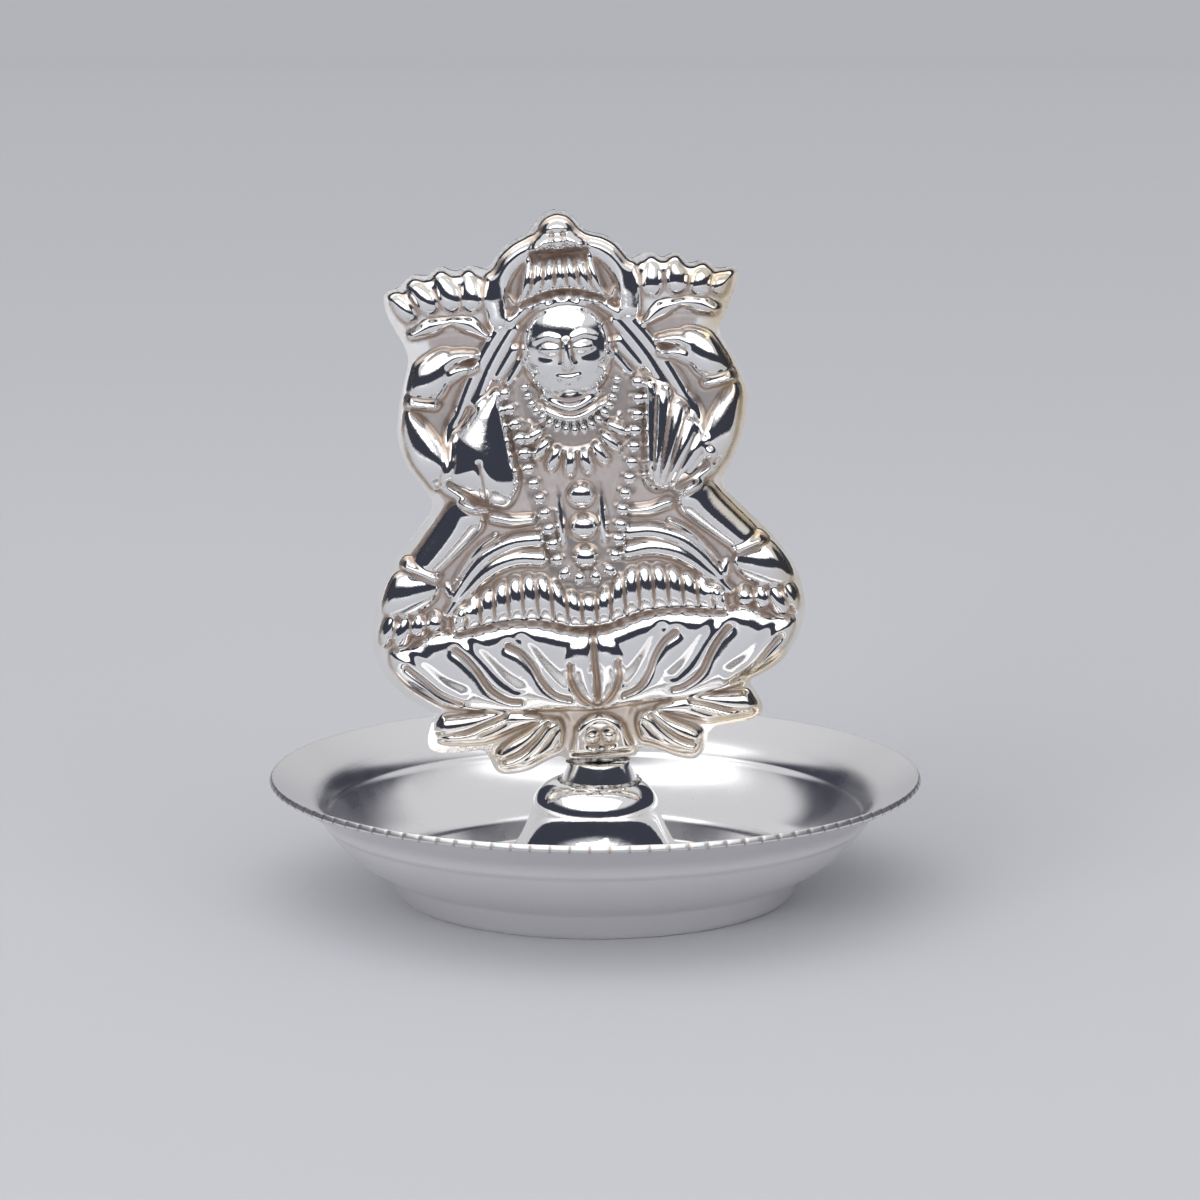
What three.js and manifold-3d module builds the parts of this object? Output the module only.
// Incense stand in silver sheet: an embossed figure on a bell pedestal, standing in a spun dish.
// Millimetres, +Z up. The figure faces -Y, and the origin is the centre of the dish's flat foot.
import * as THREE from "three";
import { mergeVertices } from "three/addons/utils/BufferGeometryUtils.js";
import Module from "manifold-3d";

// Dish, spun from one disc of sheet
const DISH_DIAMETER = 80;
const DISH_SHEET = 0.85;
const DISH_FACETS = 64;
const RIM_HEIGHT = 15.2;
const FLANGE_WIDTH = 6.7;
const FLANGE_SLOPE = 29.2;
const FLANGE_BEND = 1.7;
const BOWL_WALL_SLOPE = 68;
const BOWL_FLOOR_SLOPE = 13;
const BOWL_LOWER_PULL = 4.3;
const BOWL_UPPER_PULL = 3.7;
const FOOT_DIAMETER = 48.9;
const FOOT_HEIGHT = 3.3;
const FOOT_FLARE = 1.0;
const FOOT_ROUND = 0.8;

// Pedestal bell, spun from thinner sheet: a dome over a flared skirt
const BELL_SHEET = 0.7;
const BELL_FACETS = 40;
const BELL_FOOT_RADIUS = 13.2;
const BELL_FOOT_LAND = 0.5;
const CREASE_RADIUS = 7.75;
const CREASE_HEIGHT = 11.2;
const SKIRT_FLARE_POWER = 1.6;
const SKIRT_STEPS = 5;
const DOME_PULL = 1.7;
const NECK_SEAT_RADIUS = 5.1;
const NECK_SEAT_HEIGHT = 13.9;
const NECK_HOLE_RADIUS = 3.4;

// Neck collar, a small turned ring that carries the figure
const COLLAR_FACETS = 32;
const COLLAR_FOOT_RADIUS = 4.65;
const COLLAR_TOP_RADIUS = 3.75;
const COLLAR_HEIGHT = 2.4;
const COLLAR_LIP = 0.5;
const COLLAR_BORE_RADIUS = 2.1;
const SPIGOT_RADIUS = 2.6;
const SPIGOT_LENGTH = 1.6;
const NECK_SHIFT = 0.5;

// Figure: an embossed front sheet, closed behind by a flat sheet of the same outline
const FIGURE_HEIGHT = 67;
const FIGURE_WIDTH = 52.7;
const FIGURE_SHEET = 0.5;
const BACK_SHEET = 0.5;
const RELIEF_SCALE = 1;
const BORDER = 1.1;
const BORDER_RISE = 2.2;
const FIGURE_LEAN = 4.9;
const FIGURE_SHIFT = 0.9;
const FIGURE_PLANE = -1.4;
const NECK_GAP = 0.35;
const TONGUE_WIDTH = 2.6;
const TONGUE_LENGTH = 3;

// Sockets: three blind tubes behind the figure, one for each incense stick
const SOCKET_RADIUS = 1.8;
const SOCKET_BORE_RADIUS = 1.25;
const SOCKET_LENGTH = 16;
const SOCKET_FLOOR = 1;
const SOCKET_FOOT_HEIGHT = 39;
const SOCKET_SPACING = 4.6;
const SOCKET_FAN = 13;
const SOCKET_FACETS = 16;

// The figure is drawn at this size and then stretched to FIGURE_HEIGHT and FIGURE_WIDTH
const DRAWN_HEIGHT = 67;
const DRAWN_WIDTH = 52.7;

// Fineness of the relief: grid cells along one side, and the sag that is let stand
const RELIEF_CELLS = 256;
const RELIEF_SAG = 0.2;
const SOFTENING_PASSES = 3;
const HOLLOW_CELLS = 32;
const HOLLOW_SAG = 0.25;
const OUTLINE_STEP = 1.25;

const SILVER = { color: 0xd9d8d6, roughness: 0.12, metalness: 1 };
const SATIN_SILVER = { color: 0xd4d2d4, roughness: 0.35, metalness: 1 };

const wasm = await Module();
wasm.setup();

const rad = THREE.MathUtils.degToRad;
const point = (x, y) => new THREE.Vector2(x, y);

// Solids from closed geometries, and back
function solidFrom(geometry) {
  const bare = geometry.clone();
  bare.deleteAttribute("normal");
  bare.deleteAttribute("uv");
  const merged = mergeVertices(bare, 1e-4);
  return new wasm.Manifold(
    new wasm.Mesh({
      numProp: 3,
      vertProperties: merged.attributes.position.array,
      triVerts: new Uint32Array(merged.index.array),
    }),
  );
}

function geometryFrom(solid) {
  const mesh = solid.getMesh();
  const geometry = new THREE.BufferGeometry();
  geometry.setAttribute("position", new THREE.BufferAttribute(mesh.vertProperties, 3));
  geometry.setIndex(new THREE.BufferAttribute(mesh.triVerts, 1));
  return geometry;
}

function named(name, geometry, finish) {
  const mesh = new THREE.Mesh(geometry, new THREE.MeshStandardMaterial(finish));
  mesh.name = name;
  return mesh;
}

// Revolved about +Z: the profile holds radius and height, and runs with the solid on its left
function turned(profile, facets) {
  return new THREE.LatheGeometry(profile, facets).rotateX(Math.PI / 2);
}

// A corner of a profile, rounded off over the given length on both sides
function roundedCorner(before, corner, after, length, steps = 2) {
  const start = corner.clone().add(before.clone().sub(corner).setLength(length));
  const end = corner.clone().add(after.clone().sub(corner).setLength(length));
  return new THREE.QuadraticBezierCurve(start, corner, end).getPoints(steps);
}

// The two faces of a sheet on either side of its middle line, joined into one loop
function sheetLoop(middle, thickness) {
  const faces = { outer: [], inner: [] };
  middle.forEach((p, i) => {
    const before = p.clone().sub(middle[Math.max(i - 1, 0)]);
    const after = middle[Math.min(i + 1, middle.length - 1)].clone().sub(p);
    const into = (before.lengthSq() ? before : after).clone().normalize();
    const out = (after.lengthSq() ? after : before).clone().normalize();
    const along = into.clone().add(out).normalize();
    const reach = thickness / 2 / along.dot(into);
    faces.outer.push(point(p.x + along.y * reach, p.y - along.x * reach));
    faces.inner.push(point(p.x - along.y * reach, p.y + along.x * reach));
  });
  return [...faces.outer, ...faces.inner.reverse()];
}

// Dish: flat sunk foot, rounded bowl and sloping flange
function dish() {
  const half = DISH_SHEET / 2;
  const slope = rad(FLANGE_SLOPE);
  const rim = point(DISH_DIAMETER / 2 - half * Math.sin(slope), RIM_HEIGHT - half * Math.cos(slope));
  const bend = point(rim.x - FLANGE_WIDTH * Math.cos(slope), rim.y - FLANGE_WIDTH * Math.sin(slope));
  const centre = point(0, half);
  const footEdge = point(FOOT_DIAMETER / 2 - half, half);
  const footTop = point(footEdge.x + FOOT_FLARE, half + FOOT_HEIGHT);
  const lower = rad(BOWL_FLOOR_SLOPE);
  const upper = rad(BOWL_WALL_SLOPE);
  const pull = (angle, length) => point(Math.cos(angle), Math.sin(angle)).multiplyScalar(length);
  const bowlPull = footTop.clone().add(pull(lower, BOWL_LOWER_PULL));
  const wallPull = bend.clone().sub(pull(upper, BOWL_UPPER_PULL));
  const bowl = new THREE.CubicBezierCurve(footTop, bowlPull, wallPull, bend);
  const wall = bowl.getPoints(7).filter((p) => {
    return p.distanceTo(footTop) > FOOT_ROUND * 1.3 && p.distanceTo(bend) > FLANGE_BEND * 1.3;
  });
  const middle = [
    centre,
    ...roundedCorner(centre, footEdge, footTop, FOOT_ROUND),
    ...roundedCorner(footEdge, footTop, bowlPull, FOOT_ROUND),
    ...wall,
    ...roundedCorner(wallPull, bend, rim, FLANGE_BEND),
    rim,
  ];
  return turned(sheetLoop(middle, DISH_SHEET), DISH_FACETS);
}

// Pedestal bell: open underneath, with a flat seat and a hole for the neck at the top
function pedestalBell() {
  const half = BELL_SHEET / 2;
  const foot = point(BELL_FOOT_RADIUS - half, DISH_SHEET);
  const land = point(foot.x, foot.y + BELL_FOOT_LAND);
  const crease = point(CREASE_RADIUS - half, CREASE_HEIGHT);
  const skirt = [];
  for (let i = 0; i <= SKIRT_STEPS; i++) {
    const down = 1 - i / SKIRT_STEPS;
    const radius = crease.x + (land.x - crease.x) * down ** SKIRT_FLARE_POWER;
    skirt.push(point(radius, crease.y + (land.y - crease.y) * down));
  }
  const seat = point(NECK_SEAT_RADIUS, NECK_SEAT_HEIGHT - half);
  const domePull = point(crease.x - DOME_PULL * 0.35, crease.y + DOME_PULL);
  const dome = new THREE.QuadraticBezierCurve(crease, domePull, seat).getPoints(4).slice(1);
  const hole = point(NECK_HOLE_RADIUS, seat.y);
  const loop = sheetLoop([foot, ...skirt, ...dome, hole], BELL_SHEET);
  return turned([...loop, loop[0]], BELL_FACETS);
}

// Neck collar: tapered outside, bored through, with a spigot that drops into the dome
function neckCollar() {
  const seat = NECK_SEAT_HEIGHT;
  const top = seat + COLLAR_HEIGHT;
  const profile = [
    point(COLLAR_BORE_RADIUS, seat - SPIGOT_LENGTH),
    point(SPIGOT_RADIUS, seat - SPIGOT_LENGTH),
    point(SPIGOT_RADIUS, seat),
    point(COLLAR_FOOT_RADIUS, seat),
    point(COLLAR_FOOT_RADIUS, seat + 0.3),
    point(COLLAR_TOP_RADIUS, top - COLLAR_LIP),
    point(COLLAR_TOP_RADIUS, top),
    point(COLLAR_BORE_RADIUS, top),
    point(COLLAR_BORE_RADIUS, seat - SPIGOT_LENGTH),
  ];
  return turned(profile, COLLAR_FACETS);
}

// The figure's outline, from the foot of the stalk up the right side and down the left, in drawn
// millimetres: u to the right and v upwards from the middle of the stalk's foot
const STALK_FOOT = 4.1;
const RIGHT_SIDE = [
  // stalk, lower petal and side petal
  [4.1, 0], [4.7, 0.7], [6.6, 0.4], [9.2, -0.7], [11.1, -1.1], [12.5, 0], [13.1, 1.9], [15, 2.9], [19, 3.3],
  [20, 4.6], [19.5, 6.3], [18.8, 8.1],
  // lotus seat, lower hand and waist
  [21.4, 9.4], [24.1, 11.7], [25.7, 15], [26.1, 18.2], [25.3, 21.6], [23.7, 24.5], [21.3, 27.4], [18.6, 30.5],
  [17.4, 32.3], [17.6, 33.5],
  // upper arm up to the wrist
  [19, 35.9], [20.5, 39.6], [21.1, 42.8], [20.6, 45.6], [19.4, 48.5], [18.3, 50.9],
  // raised hand and its four fingertips
  [19.4, 53.3], [20.6, 55.9], [21.2, 58], [19.8, 58.4], [18.6, 58.5], [17.3, 59.5], [15.4, 59.35],
  [14, 60.75], [12.3, 60.3], [10.6, 61], [8.7, 60.5],
  // halo and crown
  [7.8, 61.5], [5.8, 63.4], [3.7, 64.1], [2.5, 65.4], [1.5, 66.6], [0, 67],
];
const LEFT_SIDE = [
  // crown and halo
  [-1.3, 66.7], [-2.4, 65.8], [-3.9, 64.35], [-6, 63.4], [-7.6, 61.9], [-8.6, 60.7],
  // raised hand and its four fingertips
  [-10.9, 61.2], [-12.4, 60.75], [-14.2, 61.4], [-15.9, 60.5], [-17.7, 60.65], [-19.4, 59.35], [-21.2, 58.5],
  [-21.1, 56.2], [-20, 53.6], [-19.1, 50.9],
  // upper arm, waist and lower hand
  [-19.7, 48.2], [-20.8, 44.6], [-21.2, 41.8], [-20.7, 38.7], [-19.2, 35.8], [-17.8, 33], [-19, 31],
  [-21.6, 28], [-24.2, 24.6], [-25.9, 20.6], [-26.6, 16.8], [-26, 13.4], [-24.2, 10.6], [-20.1, 7.2],
  // side petal, lower petal and stalk
  [-20.6, 5.7], [-21.1, 3.8], [-19.7, 2.3], [-14.6, 2.1], [-13.6, 0.6], [-12.8, -0.8], [-11, -1.1],
  [-8.6, -0.7], [-6.2, 0.5], [-4.7, 0.5], [-4.1, 0],
];

function outlinePoints() {
  const spline = new THREE.SplineCurve([...RIGHT_SIDE, ...LEFT_SIDE].map(([u, v]) => point(u, v)));
  const steps = Math.round(spline.getLength() / OUTLINE_STEP);
  return spline.getSpacedPoints(steps);
}

const OUTLINE = outlinePoints();
const EDGE = OUTLINE.map(({ x, y }) => [x, y]);

// How far along and beside a spine a place lies
function besideSpine(spine, u, v) {
  let best = { away: Infinity, share: 0 };
  const last = spine.length - 1;
  for (let i = 0; i < last; i++) {
    const [au, av] = spine[i];
    const du = spine[i + 1][0] - au;
    const dv = spine[i + 1][1] - av;
    const t = THREE.MathUtils.clamp(((u - au) * du + (v - av) * dv) / (du * du + dv * dv), 0, 1);
    const away = Math.hypot(u - au - t * du, v - av - t * dv);
    if (away < best.away) best = { away, share: (i + t) / last };
  }
  return best;
}

// Distance from a place inside a closed edge to that edge, negative outside
function insideBy(edge, u, v) {
  let away = Infinity;
  let inside = false;
  for (let i = 0, j = edge.length - 1; i < edge.length; j = i++) {
    const [au, av] = edge[i];
    const [bu, bv] = edge[j];
    away = Math.min(away, besideSpine([edge[i], edge[j]], u, v).away);
    const crosses = av > v !== bv > v;
    if (crosses && u < ((bu - au) * (v - av)) / (bv - av) + au) inside = !inside;
  }
  return inside ? away : -away;
}

// A value read off between evenly spaced ones
function between(values, share) {
  const place = share * (values.length - 1);
  const i = Math.min(Math.floor(place), values.length - 2);
  return THREE.MathUtils.lerp(values[i], values[i + 1], place - i);
}

const flipped = ([u, v]) => [-u, v];

// Relief forms, in drawn millimetres: each stands full in its middle and falls away at its edge
class Form {
  constructor(places, margin, height, fullness) {
    const us = places.map((place) => place[0]);
    const vs = places.map((place) => place[1]);
    this.low = [Math.min(...us) - margin, Math.min(...vs) - margin];
    this.high = [Math.max(...us) + margin, Math.max(...vs) + margin];
    this.height = height;
    this.fullness = fullness;
  }

  covers(u, v) {
    return u > this.low[0] && u < this.high[0] && v > this.low[1] && v < this.high[1];
  }

  heightAt(u, v) {
    const share = this.covers(u, v) ? this.share(u, v) : 1;
    return share < 1 ? this.height * (1 - share) ** this.fullness : 0;
  }
}

// A rounded ridge along a spine, with its half-widths from one end to the other
class Ridge extends Form {
  constructor(spine, widths, height, fullness = 0.5) {
    super(spine, Math.max(...widths), height, fullness);
    this.spine = spine;
    this.widths = widths;
  }

  mirrored() {
    return new Ridge(this.spine.map(flipped), this.widths, this.height, this.fullness);
  }

  share(u, v) {
    const beside = besideSpine(this.spine, u, v);
    return (beside.away / between(this.widths, beside.share)) ** 2;
  }
}

// A rounded oval, turned anticlockwise
class Boss extends Form {
  constructor(centre, half, height, turn = 0, fullness = 0.5) {
    super([centre], Math.max(...half), height, fullness);
    this.centre = centre;
    this.half = half;
    this.turn = turn;
  }

  mirrored() {
    return new Boss(flipped(this.centre), this.half, this.height, -this.turn, this.fullness);
  }

  share(u, v) {
    const c = Math.cos(rad(this.turn));
    const s = Math.sin(rad(this.turn));
    const x = (u - this.centre[0]) * c + (v - this.centre[1]) * s;
    const y = (v - this.centre[1]) * c - (u - this.centre[0]) * s;
    return (x / this.half[0]) ** 2 + (y / this.half[1]) ** 2;
  }
}

// A puffed patch inside a closed edge, rounded off over a given width
class Patch extends Form {
  constructor(edge, rounding, height, fullness = 0.5) {
    super(edge, 0, height, fullness);
    const spline = new THREE.SplineCurve([...edge, edge[0]].map(([u, v]) => point(u, v)));
    this.corners = edge;
    this.edge = spline.getPoints(edge.length * 2).slice(1).map((p) => [p.x, p.y]);
    this.rounding = rounding;
  }

  mirrored() {
    return new Patch(this.corners.map(flipped), this.rounding, this.height, this.fullness);
  }

  share(u, v) {
    const inside = insideBy(this.edge, u, v) / this.rounding;
    return (1 - THREE.MathUtils.clamp(inside, 0, 1)) ** 2;
  }
}

// A rolled band gathered into upright ribs, the same on both sides of the middle
class Band extends Form {
  constructor({ foot, top, ribs, pitch, taper, height }) {
    super([...foot, ...top, ...foot.map(flipped)], 0, height, 0.6);
    Object.assign(this, { foot, top, ribs, pitch, taper });
  }

  // How far up the band a place lies, from its foot to its top
  up(u, v) {
    const foot = levelAt(this.foot, Math.abs(u));
    const top = levelAt(this.top, Math.abs(u));
    return THREE.MathUtils.clamp((v - foot) / (top - foot), 0, 1);
  }

  share(u, v) {
    return (2 * this.up(u, v) ** RIB_BELLY - 1) ** 2;
  }

  heightAt(u, v) {
    const across = u / (this.pitch * (1 - this.taper * this.up(u, v))) + this.ribs / 2;
    if (across < 0 || across > this.ribs) return 0;
    const beside = 2 * (across - Math.floor(across)) - 1;
    return super.heightAt(u, v) * (1 - RIB_CUT * beside ** 2);
  }
}

// The level of a line, drawn outwards from the middle, at a given distance from the middle
function levelAt(line, u) {
  const next = line.findIndex(([x]) => x > u);
  if (next < 0) return line.at(-1)[1];
  const [au, av] = line[next - 1];
  const [bu, bv] = line[next];
  return THREE.MathUtils.mapLinear(u, au, bu, av, bv);
}

const ridge = (...sizes) => new Ridge(...sizes);
const boss = (...sizes) => new Boss(...sizes);
const patch = (...sizes) => new Patch(...sizes);
const valley = (spine, width, depth) => new Ridge(spine, [width, width], depth, 2);
const pair = (...forms) => forms.flatMap((form) => [form, form.mirrored()]);

function along(spine, count) {
  const spline = new THREE.SplineCurve(spine.map(([u, v]) => point(u, v)));
  return spline.getSpacedPoints(count - 1).map((p) => [p.x, p.y]);
}

// Broad swellings under everything: lotus, lap, trunk and the disc of the halo
const GROUND_RISE = 0.3;
const SWELLINGS = [
  boss([0, 10], [15, 7], 1.2),
  boss([0, 23], [13, 6], 1.7),
  boss([0, 37], [9, 10], 1.6),
  boss([0, 56], [9, 8], 0.8),
];

// Ribs of the crown and of the pleated cloth: how deep they are cut, and where they belly out
const RIB_CUT = 0.45;
const RIB_BELLY = 0.8;

const CROWN_BAND = {
  foot: [[0, 57.4], [2, 57.2], [4, 56.5], [6, 55.4]],
  top: [[0, 61.8], [4.5, 61.6], [6, 60.5]],
  ribs: 7,
  pitch: 1.62,
  taper: 0.3,
  height: 2.4,
};

// The pleats across the crossed legs: their upper edge dips in the middle and at both knees
const LAP_BAND = {
  foot: [[0, 16.6], [2, 16.7], [4, 17.3], [6, 17.8], [9, 17.9], [12, 17.7], [14, 17.4], [17, 17]],
  top: [
    [0, 20.9], [1, 21], [2.5, 21.6], [4, 23], [6, 23.9], [8, 23.8], [10, 23.4], [12, 22.6], [14, 21.7],
    [16, 20.2], [17, 19.4],
  ],
  ribs: 19,
  pitch: 1.76,
  taper: 0,
  height: 2,
};

// The lotus seat's right half, from the middle of its upper edge round to the middle of its lower one
const LOTUS_SIDE = [
  [3, 16.6], [6, 17.5], [9.5, 17.9], [13, 17.5], [15.8, 17], [17.7, 17.6], [19.8, 17.2], [21.6, 16.1],
  [24.3, 15.5], [24.6, 13.6], [23.2, 11.4], [21, 9.6], [18.4, 8], [14.6, 7.1], [10.6, 6.6], [6.6, 6.6],
  [3, 6.4],
];

// Limbs, head, crown and petals
const BODIES = [
  boss([0, 50.2], [5.5, 6.3], 3.6),
  boss([0, 43.6], [3.4, 2.6], 1.4),
  new Band(CROWN_BAND),
  patch(
    [[-3.2, 62.3], [-2.9, 63.4], [-1.9, 64.4], [0.1, 64.7], [2.1, 64.4], [3.1, 63.4], [3.3, 62.3], [0.1, 62]],
    1.7, 3.2,
  ),
  patch([[-1.8, 64.2], [-1.4, 65.4], [0.1, 66], [1.6, 65.4], [2, 64.2], [0.1, 63.8]], 1.2, 2.3),
  new Band(LAP_BAND),
  // lotus seat and stalk
  patch([[0, 16.2], ...LOTUS_SIDE, [0, 6.2], ...LOTUS_SIDE.toReversed().map(flipped)], 2.6, 2),
  patch([[-3.6, -0.2], [-3.3, 2.8], [-2.4, 4.8], [0, 5.7], [2.4, 4.8], [3.3, 2.8], [3.6, -0.2]], 1, 1.3),
  // the bare shoulder, and the one under the cloth
  patch(
    [
      [-8.4, 46.3], [-10.8, 45.2], [-13, 42.9], [-14.7, 41], [-15.3, 38.6], [-16, 36], [-13.6, 34.2],
      [-11.2, 32.6], [-8.6, 32], [-6.9, 34.6], [-7.4, 38.2], [-7.8, 42],
    ],
    4.6, 3.4,
  ),
  patch(
    [
      [8.7, 46.2], [11.4, 45], [13.6, 42.8], [15.2, 40.2], [16.3, 37], [14.4, 35], [12, 33.2], [9.4, 32.2],
      [7.4, 34], [7.8, 38], [8.3, 42],
    ],
    3.2, 2.6,
  ),
  ...pair(
    // raised arm: upper arm, forearm and the folds at the elbow
    ridge([[18.4, 43.4], [17.5, 40], [16.4, 36.6]], [2.2, 1.6, 0.6], 2.4),
    ridge([[13.2, 51.5], [16, 50], [18.2, 47.4]], [1, 1.9, 2.2], 2.5),
    ridge([[11.4, 50.7], [13.4, 50.7], [15.4, 49.6]], [0.4, 0.8, 0.6], 2.3),
    ridge([[16.4, 45.1], [20, 45.6]], [0.75, 0.75], 3),
    // raised hand: plate, four fingers and the folds of the palm
    patch(
      [
        [19.7, 57], [17, 58.8], [14.1, 59.5], [9.6, 59.5], [9, 56.8], [10, 53.5], [14, 53.4], [18, 52.9],
        [18.9, 55],
      ],
      1.6, 0.9,
    ),
    boss([10.8, 57.8], [1.4, 2.4], 1.5, -3),
    boss([13.8, 57.8], [1.4, 2.4], 1.5, -15),
    boss([16.8, 57.3], [1.3, 2.2], 1.5, -33),
    boss([19.3, 56.5], [0.9, 2], 1.4, -45),
    ridge([[9.7, 52.8], [11.6, 54.1], [13.6, 54.6]], [0.5, 0.95, 0.4], 1.7),
    ridge([[14.1, 54.6], [16.2, 54.2], [18.5, 53.2]], [0.4, 0.95, 0.5], 1.7),
    // lower arm, bracelet, palm and fingers
    ridge([[14.3, 31.2], [19.2, 26]], [2.5, 1.9], 2.6),
    ridge([[18.3, 24.4], [21.8, 25.8]], [0.75, 0.75], 2.8),
    patch(
      [
        [18.3, 23.2], [21.6, 24.8], [23.6, 22.6], [25.2, 20.3], [24.6, 19.5], [21.5, 19.8], [18.6, 19.9],
        [17.6, 21.4],
      ],
      2, 2.2,
    ),
    boss([18.9, 18.6], [1.1, 1.2], 1.9),
    boss([20.9, 18.4], [0.95, 1.55], 1.9, 8),
    boss([22.8, 17.8], [1, 2.1], 2, 22),
    boss([24.5, 18.3], [0.75, 2.1], 1.7, 20),
    // the two petals that hang below the seat
    patch(
      [
        [19.9, 5.4], [19.2, 6.7], [16, 6.9], [12, 7.2], [8, 6.4], [7, 5.4], [10.4, 4.4], [14, 3.3],
        [17.4, 3.4], [19.6, 3.9],
      ],
      1.5, 1.5,
    ),
    patch(
      [
        [12.9, 1.4], [11.5, 2.9], [9, 4.2], [6.8, 5.6], [4.9, 5.2], [4.5, 3.4], [5.3, 1.4], [8, 0],
        [10.5, -0.7], [12.2, -0.5],
      ],
      1.3, 1.5,
    ),
  ),
];

// Cloth, hair and jewellery, laid over the bodies
const PENDANTS = 8;
const PENDANT_PITCH = 25;
const PENDANT_RING = { centre: [0.2, 41.2], half: [5.2, 4.4] };
const PENDANT_HALF = [0.85, 1.8];
const NECKLACE = [[-5.5, 46], [-4.6, 43.8], [-2.8, 41.7], [0, 40.7], [2.8, 41.7], [4.6, 43.8], [5.5, 46]];
const GARLAND_BEADS = 28;
const GARLAND = [
  [-7.9, 45.9], [-7, 42], [-6.4, 38], [-5.3, 33.8], [-4.3, 28.6], [-3.5, 24.8], [-1.7, 22.9], [0, 22.7],
  [1.7, 22.9], [3.5, 24.8], [4.3, 28.6], [5.3, 33.8], [6.4, 38], [7, 42], [7.9, 45.9],
];

function pendants() {
  const { centre, half } = PENDANT_RING;
  return Array.from({ length: PENDANTS }, (_, i) => {
    const degrees = (i - (PENDANTS - 1) / 2) * PENDANT_PITCH;
    const turn = rad(degrees);
    const place = [centre[0] + half[0] * Math.sin(turn), centre[1] - half[1] * Math.cos(turn)];
    return boss(place, PENDANT_HALF, 1.2, degrees);
  });
}

const ORNAMENTS = [
  ...pendants(),
  ...along(GARLAND, GARLAND_BEADS).map((centre) => boss(centre, [0.85, 0.85], 1.1)),
  ridge(NECKLACE, [0.65, 0.65], 0.8),
  ridge([[-6.5, 54.1], [-4, 55.6], [0, 56.6], [4, 55.6], [6.5, 54.1]], [0.7, 0.7], 1),
  ridge([[-3.4, 44.9], [0, 43.5], [3.4, 44.9]], [0.55, 0.55], 0.7),
  boss([0.2, 32.7], [1.75, 1.65], 1.4),
  boss([0.2, 28.9], [1.7, 1.55], 1.3),
  boss([0.1, 25.3], [1.5, 1.4], 1.2),
  ...pair(
    // halo, the two long locks and the short ones
    ridge([[8.1, 54.6], [8.1, 57.6], [6.9, 60.4], [5.1, 62.1], [3.2, 62.9]], [1.1, 1.15, 1], 2),
    ridge([[7, 54.3], [9, 51.7], [10.8, 49], [12.2, 46.5], [14.7, 42], [15.2, 38]], [0.7, 0.7, 0.5], 1.7),
    ridge([[6.2, 53.3], [7.9, 51], [9.5, 48.5], [11.6, 44.8]], [0.65, 0.7, 0.5], 1.6),
    ridge([[6.4, 50.7], [8.6, 47.7]], [0.6, 0.5], 1.3),
    ridge([[5.6, 49.3], [7.3, 47]], [0.55, 0.45], 1.2),
    // sash under the elbow, waist fold and the two crescent folds of the lap
    ridge([[16, 34.7], [13.8, 33.3], [11.6, 32.1]], [0.75, 0.85, 0.5], 1.5),
    ridge([[10.6, 30.9], [8.4, 30.3], [6, 30.3]], [0.8, 0.75, 0.6], 1.3),
    ridge([[5.5, 27.8], [8.5, 27.6], [11.5, 26.4], [13.5, 24.8], [16.2, 21.5]], [0.95, 1, 0.5], 1.4),
    ridge([[5.3, 25.5], [8, 25.7], [10.5, 25.1], [14.3, 22.4], [17.2, 19.5]], [0.95, 1, 0.5], 1.4),
    // the sepals on the stalk
    boss([0.95, 2.9], [0.85, 0.85], 1.2),
  ),
];

// The cloth over one shoulder is drawn in pleats that fan out from the waist: the lines between them
const CLOTH_LINES = 6;
const CLOTH_WAIST = [[8.9, 34.6], [10, 33.2], [12.1, 32.6]];
const CLOTH_EDGE = [[10.7, 45], [13.9, 41.6], [16.3, 36.2]];

function clothLines() {
  const ends = along(CLOTH_EDGE, CLOTH_LINES);
  return along(CLOTH_WAIST, CLOTH_LINES).map((start, i) => ridge([start, ends[i]], [0.35, 0.5], 0.9));
}

// Chased lines, sunk into the forms
const PETAL_VEINS = [
  [[16.7, 15.2], [14.2, 12.2], [12.8, 9.8], [9.3, 8.1]],
  [[10.2, 15.2], [8.7, 14.2], [7.3, 12.3], [5.2, 8.8], [3.2, 7.9]],
  [[22.7, 13.4], [19, 9.6], [16.7, 8.3]],
];
const PETAL_OVERLAPS = [
  [[8.5, 15.9], [6.9, 13.2], [5.3, 11], [3.9, 9.5]],
  [[15, 15.8], [13.1, 13.5], [11.3, 11.3], [9.6, 9.8]],
  [[22.4, 14.7], [20.6, 12.9], [18.6, 11], [16.4, 9.7]],
];

const CHASED = [
  ridge([[0.15, 16], [0.15, 7.5]], [0.45, 0.35], 0.8),
  boss([0, 2.7], [2, 2.3], 0.7),
  ...clothLines(),
  ...pair(
    ...PETAL_VEINS.map((vein) => ridge(vein, [0.55, 0.5], 1)),
    ...PETAL_VEINS.map((vein) => valley(vein, 1.5, 0.5)),
    ...PETAL_OVERLAPS.map((line) => valley(line, 1.3, 0.55)),
    ridge([[2.9, 12.4], [2.9, 10.2], [1.9, 8], [0.3, 6.7]], [0.45, 0.4], 0.8),
    boss([2.2, 13.7], [1.9, 1.1], 1.2, -12, 1),
    ridge([[20.2, 4.5], [16.4, 4.7], [13.4, 5.7], [11.3, 6.4]], [0.4, 0.35], 0.7),
    ridge([[12.9, 0.6], [10, 1.6], [8, 3.1], [6.2, 5.1]], [0.4, 0.35], 0.7),
  ),
];

// The face: calm, closed and plain, laid out in thirds between the crown band and the chin
const FACE_TOP = 55.2;
const FACE_CHIN = 44.9;
const FACE_THIRD = (FACE_TOP - FACE_CHIN) / 3;
const BROW = FACE_TOP - FACE_THIRD;
const NOSE_BASE = BROW - FACE_THIRD;
const EYE_SPACING = 2.2;

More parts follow.
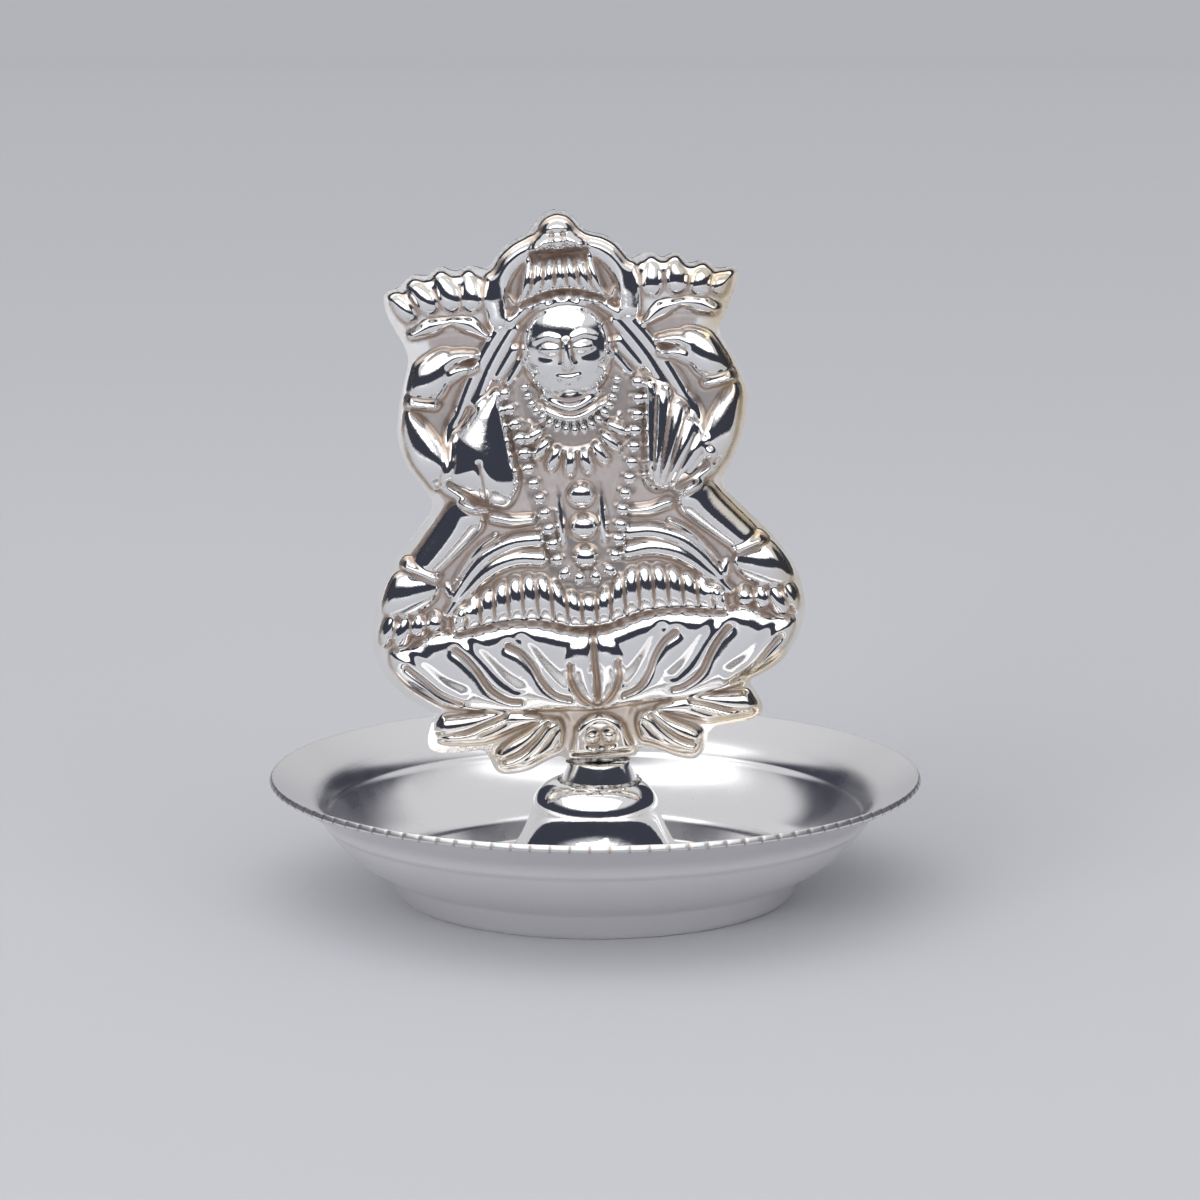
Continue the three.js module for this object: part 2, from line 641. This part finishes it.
const FACE = [
  ridge([[0, BROW - 0.2], [0, NOSE_BASE + 0.5]], [0.45, 0.75], 1),
  boss([0, NOSE_BASE - 1.2], [1.5, 0.45], 0.45),
  boss([0, FACE_CHIN + 0.9], [1.3, 0.8], 0.4),
  ...pair(
    boss([EYE_SPACING, BROW - 1.1], [1.3, 0.65], 0.5),
    ridge([[0.9, BROW + 0.1], [2.3, BROW + 0.6], [3.7, BROW]], [0.3, 0.25], 0.35),
    boss([2.6, NOSE_BASE + 0.2], [1.6, 1.5], 0.35),
  ),
];

const highest = (forms, u, v) => Math.max(...forms.map((form) => form.heightAt(u, v)));

// Height of the embossed face over its flat border, in millimetres
function reliefAt(u, v) {
  const inside = insideBy(EDGE, u, v);
  const rise = THREE.MathUtils.smoothstep(inside, BORDER, BORDER + BORDER_RISE);
  const swelling = SWELLINGS.reduce((sum, form) => {
    return sum + form.height * Math.exp(-form.share(u, v));
  }, GROUND_RISE);
  const raised = highest(BODIES, u, v) + highest(ORNAMENTS, u, v) + highest(FACE, u, v);
  const border = THREE.MathUtils.smoothstep(inside, BORDER * 0.5, BORDER);
  const height = swelling * rise + (raised - highest(CHASED, u, v)) * border;
  return RELIEF_SCALE * Math.max(height, 0);
}

// Right-angled triangles over a square grid, halved only where the heights sag by more than let
function adaptiveTriangles(cells, heights, sag) {
  const key = ([i, j]) => j * (cells + 1) + i;
  const middle = ([a, b]) => [(a[0] + b[0]) / 2, (a[1] + b[1]) / 2];
  const halves = (t) => [[t[2], t[0], middle(t)], [t[1], t[2], middle(t)]];
  const splits = ([a, , c]) => Math.abs(a[0] - c[0]) + Math.abs(a[1] - c[1]) > 1;
  const roots = [
    [[0, 0], [cells, cells], [cells, 0]],
    [[cells, cells], [0, 0], [0, cells]],
  ];
  const levels = [roots];
  while (splits(levels.at(-1)[0])) levels.push(levels.at(-1).flatMap(halves));
  const bend = new Float32Array((cells + 1) ** 2);
  for (const level of levels.slice(0, -1).reverse()) {
    for (const triangle of level) {
      const m = key(middle(triangle));
      const chord = (heights[key(triangle[0])] + heights[key(triangle[1])]) / 2;
      const below = halves(triangle).filter(splits).map((half) => bend[key(middle(half))]);
      bend[m] = Math.max(bend[m], Math.abs(heights[m] - chord), ...below);
    }
  }
  const kept = [];
  const keep = (triangle) => {
    if (splits(triangle) && bend[key(middle(triangle))] > sag) halves(triangle).forEach(keep);
    else kept.push(triangle);
  };
  roots.forEach(keep);
  return kept;
}

// A closed block whose top follows the heights and whose flat underside lies at the given depth
function reliefBlock(cells, heights, sag, place, underside) {
  const positions = [];
  const indices = [];
  const tops = new Map();
  const feet = new Map();
  const vertex = (list, [i, j], depth) => {
    const key = j * (cells + 1) + i;
    if (!list.has(key)) {
      list.set(key, positions.length / 3);
      positions.push(...place(i, j), depth(key));
    }
    return list.get(key);
  };
  const top = (p) => vertex(tops, p, (key) => heights[key]);
  const foot = (p) => vertex(feet, p, () => underside);
  const edges = new Map();
  for (const [a, b, c] of adaptiveTriangles(cells, heights, sag)) {
    indices.push(top(a), top(c), top(b));
    for (const [from, to] of [[a, c], [c, b], [b, a]]) {
      const back = `${to}>${from}`;
      if (edges.has(back)) edges.delete(back);
      else edges.set(`${from}>${to}`, [from, to]);
    }
  }
  const centre = positions.length / 3;
  positions.push(...place(cells / 2, cells / 2), underside);
  for (const [from, to] of edges.values()) {
    indices.push(foot(from), foot(to), top(to), foot(from), top(to), top(from));
    indices.push(centre, foot(to), foot(from));
  }
  const geometry = new THREE.BufferGeometry();
  geometry.setAttribute("position", new THREE.Float32BufferAttribute(positions, 3));
  geometry.setIndex(indices);
  return geometry;
}

// The outline as a prism between two depths, in the figure's own plane
function outlinePrism(outline, low, high) {
  const stretch = ({ x, y }) => point((x * FIGURE_WIDTH) / DRAWN_WIDTH, (y * FIGURE_HEIGHT) / DRAWN_HEIGHT);
  const shape = new THREE.Shape(outline.map(stretch));
  return new THREE.ExtrudeGeometry(shape, { depth: high - low, bevelEnabled: false }).translate(0, 0, low);
}

const GRID_SIDE = DRAWN_HEIGHT + 2.4;
const GRID_FOOT = -1.8;

// Where a grid corner lies on the drawing, and on the figure
const drawn = (cells, i, j) => [(i / cells - 0.5) * GRID_SIDE, GRID_FOOT + (j / cells) * GRID_SIDE];
const placer = (cells) => (i, j) => {
  const [u, v] = drawn(cells, i, j);
  return [(u * FIGURE_WIDTH) / DRAWN_WIDTH, (v * FIGURE_HEIGHT) / DRAWN_HEIGHT];
};

// Sheet doesn't take a sharp crease, so each height is averaged with its two neighbours
function softenAlong(heights, side, step) {
  const before = heights.slice();
  for (let i = step; i < side * side - step; i++) {
    heights[i] = (before[i - step] + 2 * before[i] + before[i + step]) / 4;
  }
}

function reliefHeights() {
  const heights = new Float32Array((RELIEF_CELLS + 1) ** 2);
  for (let j = 0; j <= RELIEF_CELLS; j++) {
    for (let i = 0; i <= RELIEF_CELLS; i++) {
      heights[j * (RELIEF_CELLS + 1) + i] = reliefAt(...drawn(RELIEF_CELLS, i, j));
    }
  }
  for (let pass = 0; pass < SOFTENING_PASSES; pass++) {
    softenAlong(heights, RELIEF_CELLS + 1, 1);
    softenAlong(heights, RELIEF_CELLS + 1, RELIEF_CELLS + 1);
  }
  return heights;
}

// The hollow behind the relief lies one sheet below the lowest point of the face around it
function hollowHeights(heights) {
  const ratio = RELIEF_CELLS / HOLLOW_CELLS;
  const hollow = new Float32Array((HOLLOW_CELLS + 1) ** 2);
  for (let j = 0; j <= HOLLOW_CELLS; j++) {
    for (let i = 0; i <= HOLLOW_CELLS; i++) {
      let least = Infinity;
      for (let y = Math.max(0, (j - 1) * ratio); y <= Math.min(RELIEF_CELLS, (j + 1) * ratio); y++) {
        for (let x = Math.max(0, (i - 1) * ratio); x <= Math.min(RELIEF_CELLS, (i + 1) * ratio); x++) {
          least = Math.min(least, heights[y * (RELIEF_CELLS + 1) + x]);
        }
      }
      const clear = least > FIGURE_SHEET ? least : -FIGURE_SHEET;
      hollow[j * (HOLLOW_CELLS + 1) + i] = clear - FIGURE_SHEET;
    }
  }
  return hollow;
}

// Embossed front: the relief cut to the outline, and hollow behind
function figureFront() {
  const heights = reliefHeights();
  const top = Math.max(...heights) + 1;
  const face = solidFrom(reliefBlock(RELIEF_CELLS, heights, RELIEF_SAG, placer(RELIEF_CELLS), -3));
  const trimmed = face.intersect(solidFrom(outlinePrism(OUTLINE, -FIGURE_SHEET, top)));
  const hollow = reliefBlock(HOLLOW_CELLS, hollowHeights(heights), HOLLOW_SAG, placer(HOLLOW_CELLS), -3);
  return geometryFrom(trimmed.subtract(solidFrom(hollow)));
}

// Flat back of the same outline, with a tongue that drops into the collar's bore
function figureBack() {
  const plate = solidFrom(outlinePrism(OUTLINE, -FIGURE_SHEET - BACK_SHEET, -FIGURE_SHEET));
  const middle = NECK_SHIFT - FIGURE_SHIFT;
  const overlap = 1;
  const tongue = new THREE.BoxGeometry(TONGUE_WIDTH, TONGUE_LENGTH + overlap, BACK_SHEET);
  tongue.translate(middle, (overlap - TONGUE_LENGTH) / 2, -FIGURE_SHEET - BACK_SHEET / 2);
  return geometryFrom(plate.add(solidFrom(tongue)));
}

// Socket: a blind tube, flat along the side that is soldered to the back
function stickSocket() {
  const flat = rad(180 / SOCKET_FACETS);
  const side = SOCKET_RADIUS / Math.cos(flat);
  const profile = [
    point(0, 0),
    point(side, 0),
    point(side, SOCKET_LENGTH),
    point(SOCKET_BORE_RADIUS, SOCKET_LENGTH),
    point(SOCKET_BORE_RADIUS, SOCKET_FLOOR),
    point(0, SOCKET_FLOOR),
  ];
  return new THREE.LatheGeometry(profile, SOCKET_FACETS, flat);
}

// The figure stands up from its own plane, leans in that plane and rests on the collar
function figure() {
  const upright = new THREE.Group();
  const finish = SILVER;
  const backFace = -FIGURE_SHEET - BACK_SHEET;
  upright.add(named("figure_front", figureFront(), finish));
  upright.add(named("figure_back", figureBack(), finish));
  ["left", "middle", "right"].forEach((side, i) => {
    const socket = named(`stick_socket_${side}`, stickSocket(), finish);
    socket.position.set((i - 1) * SOCKET_SPACING, SOCKET_FOOT_HEIGHT, backFace - SOCKET_RADIUS);
    socket.rotation.z = rad((1 - i) * SOCKET_FAN);
    upright.add(socket);
  });
  upright.rotation.x = Math.PI / 2;
  const leaning = new THREE.Group();
  leaning.add(upright);
  leaning.rotation.y = rad(-FIGURE_LEAN);
  const dip = STALK_FOOT * (FIGURE_WIDTH / DRAWN_WIDTH) * Math.sin(rad(FIGURE_LEAN));
  const collarTop = NECK_SEAT_HEIGHT + COLLAR_HEIGHT;
  leaning.position.set(FIGURE_SHIFT, FIGURE_PLANE, collarTop + NECK_GAP + dip);
  return leaning;
}

const stand = new THREE.Group();
stand.add(named("dish", dish(), SATIN_SILVER));
stand.add(named("pedestal_bell", pedestalBell(), SILVER));
const collar = named("neck_collar", neckCollar(), SILVER);
collar.position.x = NECK_SHIFT;
stand.add(collar);
stand.add(figure());

export default stand;
